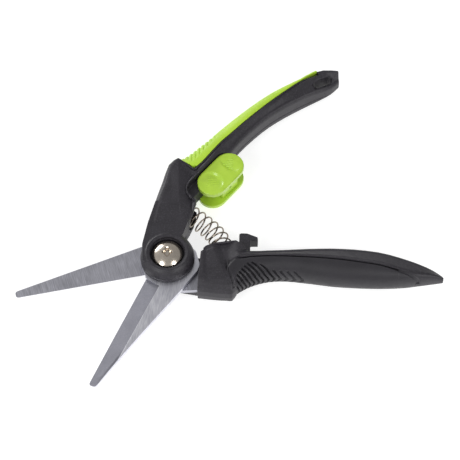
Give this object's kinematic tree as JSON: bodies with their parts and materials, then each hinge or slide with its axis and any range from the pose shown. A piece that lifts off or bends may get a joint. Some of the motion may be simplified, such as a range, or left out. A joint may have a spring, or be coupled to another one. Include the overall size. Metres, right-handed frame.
{
  "type": "grass shears",
  "caption": "One-handed grass shears: crossed straight blades on a domed pivot bolt, spring-opened moulded handles with soft grips and a sliding handle lock.",
  "frame": {"origin": "centre of the sleeve nut's flat outer face, on the pivot axis and on the table that the shears lie on", "axes": "+Z along the pivot axis towards the bolt head, +X from the pivot along the lower handle to its tip, +Y from the pivot towards the opened upper handle"},
  "size_m": [0.1948, 0.1695, 0.018],
  "materials": {
    "black_plastic": "fine moulded texture",
    "black_soft_grip": "matt soft rubber",
    "green_soft_grip": "matt soft rubber",
    "green_plastic": "satin moulded",
    "blade_steel": "brushed, ground edge band",
    "nickel": "bright nickel plate",
    "spring_steel": "drawn wire"
  },
  "bodies": {
    "lower_lever": {"lower_handle_body": "black_plastic", "lower_soft_grip": "black_soft_grip", "rear_blade": "blade_steel", "pivot_bolt": "nickel", "pivot_nut": "nickel", "head_washer": "nickel", "nut_washer": "nickel", "return_spring": "spring_steel"},
    "upper_lever": {"upper_handle_body": "black_plastic", "upper_soft_grip": "green_soft_grip", "front_blade": "blade_steel"},
    "lock_slider": {"lock_front": "green_plastic", "lock_rear": "green_plastic"}
  },
  "joints": [
    {"name": "pivot", "type": "hinge", "parent": "lower_lever", "child": "upper_lever", "pos_m": [0, 0, 0.0085], "axis": [0, 0, 1], "range_deg": [-47, 0], "stiffness_Nm_per_rad": 0.25, "springref_deg": 20.05, "deforming": ["return_spring"]},
    {"name": "lock_slide", "type": "slide", "parent": "upper_lever", "child": "lock_slider", "axis": [-0.6361, -0.7716, 0], "range_m": [0, 0.005]}
  ]
}
